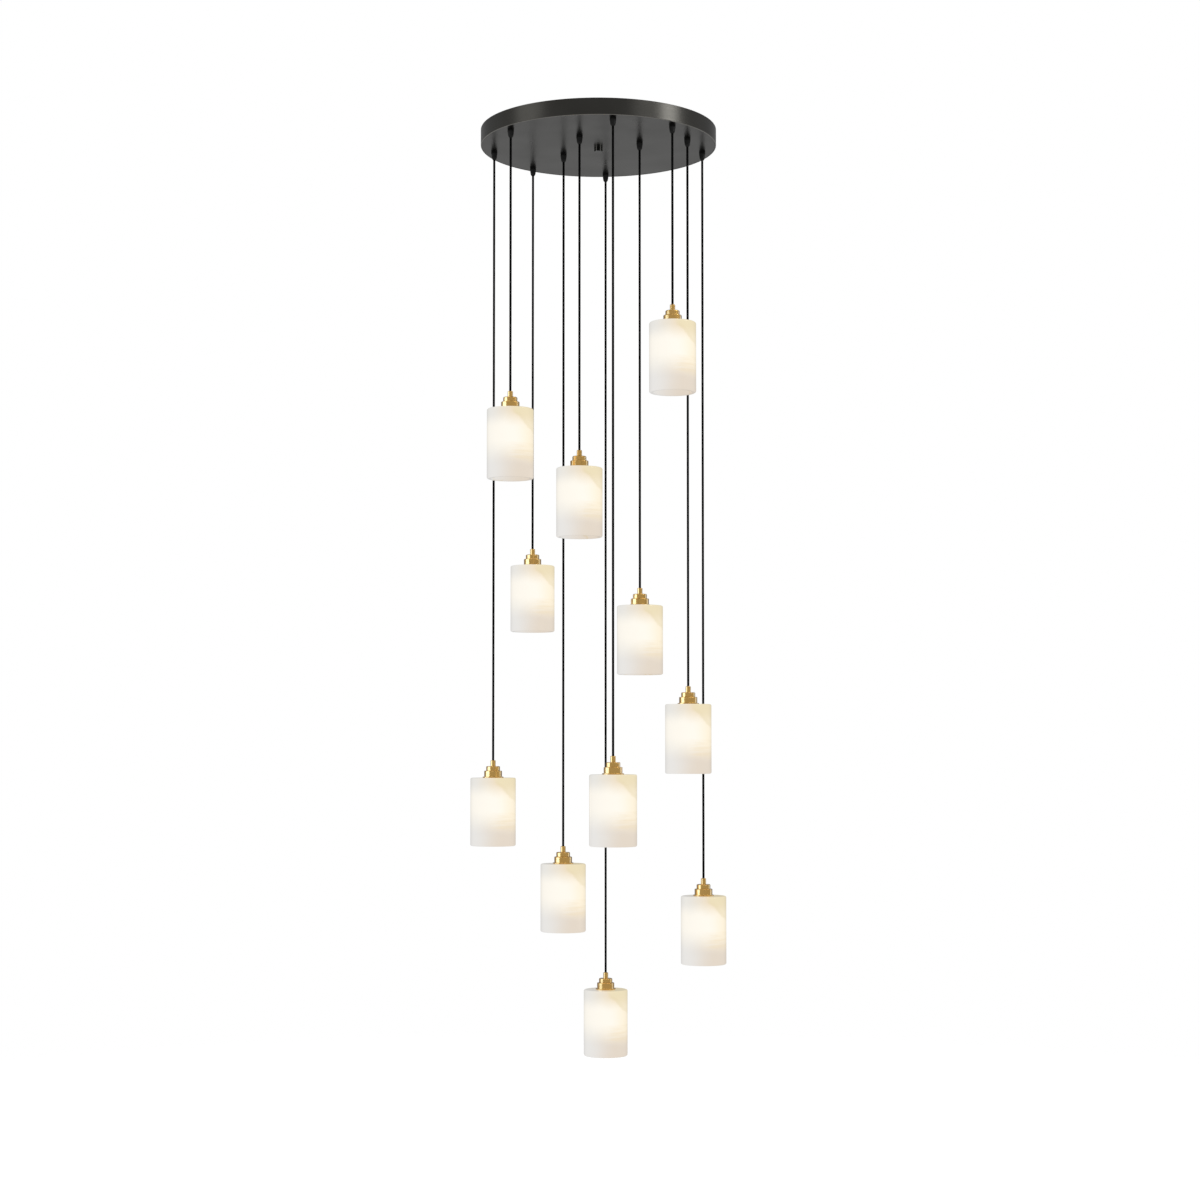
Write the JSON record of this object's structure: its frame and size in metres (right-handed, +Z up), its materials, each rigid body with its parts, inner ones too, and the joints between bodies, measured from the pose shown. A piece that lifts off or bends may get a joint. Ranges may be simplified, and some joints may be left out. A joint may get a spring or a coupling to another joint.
{
  "type": "alabaster pendant light",
  "caption": "Multi-pendant ceiling light: alabaster cylinder shades in stepped brass holders hang on black cords at staggered drops from a round dark metal canopy.",
  "frame": {"origin": "centre of the canopy on the ceiling plane, midway between the ceiling screws", "axes": "+Z up into the ceiling, +X to the right and +Y away from the viewer in the picture's view"},
  "size_m": [0.5641, 0.5694, 2.065],
  "materials": {
    "gunmetal": "satin gunmetal",
    "black_metal": "satin black",
    "zinc_steel": "zinc plated",
    "black_nylon": "moulded",
    "white_polyamide": "moulded",
    "black_cord": "smooth sheath",
    "brass": "polished",
    "opal_glass": "opal, lit",
    "alabaster": "honed, lit from inside"
  },
  "bodies": {
    "canopy": {"canopy_rim": "gunmetal", "canopy_plate": "gunmetal", "mounting_bar": "zinc_steel", "hanging_rod": "zinc_steel", "rod_nuts": "zinc_steel", "centre_nut": "black_metal", "earth_screw": "brass", "grip_bodies": "black_nylon", "grip_noses": "black_nylon", "grip_collets": "black_nylon", "grip_nuts": "zinc_steel", "terminal_blocks": "white_polyamide", "terminal_screws": "zinc_steel", "block_studs": "zinc_steel", "block_nuts": "zinc_steel", "canopy_leads": "black_cord"},
    "hanging_cord_01": {"cord_01": "black_cord"},
    "pendant_01": {"lamp_holder_01": "brass", "lamp_01": "opal_glass", "shade_01": "alabaster"},
    "hanging_cord_02": {"cord_02": "black_cord"},
    "pendant_02": {"lamp_holder_02": "brass", "lamp_02": "opal_glass", "shade_02": "alabaster"},
    "hanging_cord_03": {"cord_03": "black_cord"},
    "pendant_03": {"lamp_holder_03": "brass", "lamp_03": "opal_glass", "shade_03": "alabaster"},
    "hanging_cord_04": {"cord_04": "black_cord"},
    "pendant_04": {"lamp_holder_04": "brass", "lamp_04": "opal_glass", "shade_04": "alabaster"},
    "hanging_cord_05": {"cord_05": "black_cord"},
    "pendant_05": {"lamp_holder_05": "brass", "lamp_05": "opal_glass", "shade_05": "alabaster"},
    "hanging_cord_06": {"cord_06": "black_cord"},
    "pendant_06": {"lamp_holder_06": "brass", "lamp_06": "opal_glass", "shade_06": "alabaster"},
    "hanging_cord_07": {"cord_07": "black_cord"},
    "pendant_07": {"lamp_holder_07": "brass", "lamp_07": "opal_glass", "shade_07": "alabaster"},
    "hanging_cord_08": {"cord_08": "black_cord"},
    "pendant_08": {"lamp_holder_08": "brass", "lamp_08": "opal_glass", "shade_08": "alabaster"},
    "hanging_cord_09": {"cord_09": "black_cord"},
    "pendant_09": {"lamp_holder_09": "brass", "lamp_09": "opal_glass", "shade_09": "alabaster"},
    "hanging_cord_10": {"cord_10": "black_cord"},
    "pendant_10": {"lamp_holder_10": "brass", "lamp_10": "opal_glass", "shade_10": "alabaster"},
    "hanging_cord_11": {"cord_11": "black_cord"},
    "pendant_11": {"lamp_holder_11": "brass", "lamp_11": "opal_glass", "shade_11": "alabaster"}
  },
  "joints": [
    {"name": "swing_01", "type": "hinge", "parent": "canopy", "child": "hanging_cord_01", "pos_m": [0.15791, -0.17538, -0.0505], "axis": [1, 0, 0], "range_deg": [-2, 2]},
    {"name": "drop_01", "type": "slide", "parent": "hanging_cord_01", "child": "pendant_01", "axis": [0, 0, 1], "range_m": [0, 0.3], "deforming": ["cord_01"]},
    {"name": "swing_02", "type": "hinge", "parent": "canopy", "child": "hanging_cord_02", "pos_m": [-0.18848, -0.14203, -0.0505], "axis": [1, 0, 0], "range_deg": [-2, 2]},
    {"name": "drop_02", "type": "slide", "parent": "hanging_cord_02", "child": "pendant_02", "axis": [0, 0, 1], "range_m": [0, 0.3], "deforming": ["cord_02"]},
    {"name": "swing_03", "type": "hinge", "parent": "canopy", "child": "hanging_cord_03", "pos_m": [-0.04106, -0.09009, -0.0505], "axis": [1, 0, 0], "range_deg": [-2, 2]},
    {"name": "drop_03", "type": "slide", "parent": "hanging_cord_03", "child": "pendant_03", "axis": [0, 0, 1], "range_m": [0, 0.3], "deforming": ["cord_03"]},
    {"name": "swing_04", "type": "hinge", "parent": "canopy", "child": "hanging_cord_04", "pos_m": [-0.15011, 0.1821, -0.0505], "axis": [1, 0, 0], "range_deg": [-2, 2]},
    {"name": "drop_04", "type": "slide", "parent": "hanging_cord_04", "child": "pendant_04", "axis": [0, 0, 1], "range_m": [0, 0.3], "deforming": ["cord_04"]},
    {"name": "swing_05", "type": "hinge", "parent": "canopy", "child": "hanging_cord_05", "pos_m": [0.09044, -0.04027, -0.0505], "axis": [1, 0, 0], "range_deg": [-2, 2]},
    {"name": "drop_05", "type": "slide", "parent": "hanging_cord_05", "child": "pendant_05", "axis": [0, 0, 1], "range_m": [0, 0.3], "deforming": ["cord_05"]},
    {"name": "swing_06", "type": "hinge", "parent": "canopy", "child": "hanging_cord_06", "pos_m": [0.19418, -0.06876, -0.0505], "axis": [1, 0, 0], "range_deg": [-2, 2]},
    {"name": "drop_06", "type": "slide", "parent": "hanging_cord_06", "child": "pendant_06", "axis": [0, 0, 1], "range_m": [0, 0.3], "deforming": ["cord_06"]},
    {"name": "swing_07", "type": "hinge", "parent": "canopy", "child": "hanging_cord_07", "pos_m": [0.0308, -0.23398, -0.0505], "axis": [1, 0, 0], "range_deg": [-2, 2]},
    {"name": "drop_07", "type": "slide", "parent": "hanging_cord_07", "child": "pendant_07", "axis": [0, 0, 1], "range_m": [0, 0.3], "deforming": ["cord_07"]},
    {"name": "swing_08", "type": "hinge", "parent": "canopy", "child": "hanging_cord_08", "pos_m": [-0.23242, 0.04098, -0.0505], "axis": [1, 0, 0], "range_deg": [-2, 2]},
    {"name": "drop_08", "type": "slide", "parent": "hanging_cord_08", "child": "pendant_08", "axis": [0, 0, 1], "range_m": [0, 0.3], "deforming": ["cord_08"]},
    {"name": "swing_09", "type": "hinge", "parent": "canopy", "child": "hanging_cord_09", "pos_m": [-0.07801, 0.06095, -0.0505], "axis": [1, 0, 0], "range_deg": [-2, 2]},
    {"name": "drop_09", "type": "slide", "parent": "hanging_cord_09", "child": "pendant_09", "axis": [0, 0, 1], "range_m": [0, 0.3], "deforming": ["cord_09"]},
    {"name": "swing_10", "type": "hinge", "parent": "canopy", "child": "hanging_cord_10", "pos_m": [0.23166, 0.04503, -0.0505], "axis": [1, 0, 0], "range_deg": [-2, 2]},
    {"name": "drop_10", "type": "slide", "parent": "hanging_cord_10", "child": "pendant_10", "axis": [0, 0, 1], "range_m": [0, 0.3], "deforming": ["cord_10"]},
    {"name": "swing_11", "type": "hinge", "parent": "canopy", "child": "hanging_cord_11", "pos_m": [0.01646, 0.23542, -0.0505], "axis": [1, 0, 0], "range_deg": [-2, 2]},
    {"name": "drop_11", "type": "slide", "parent": "hanging_cord_11", "child": "pendant_11", "axis": [0, 0, 1], "range_m": [0, 0.3], "deforming": ["cord_11"]}
  ]
}
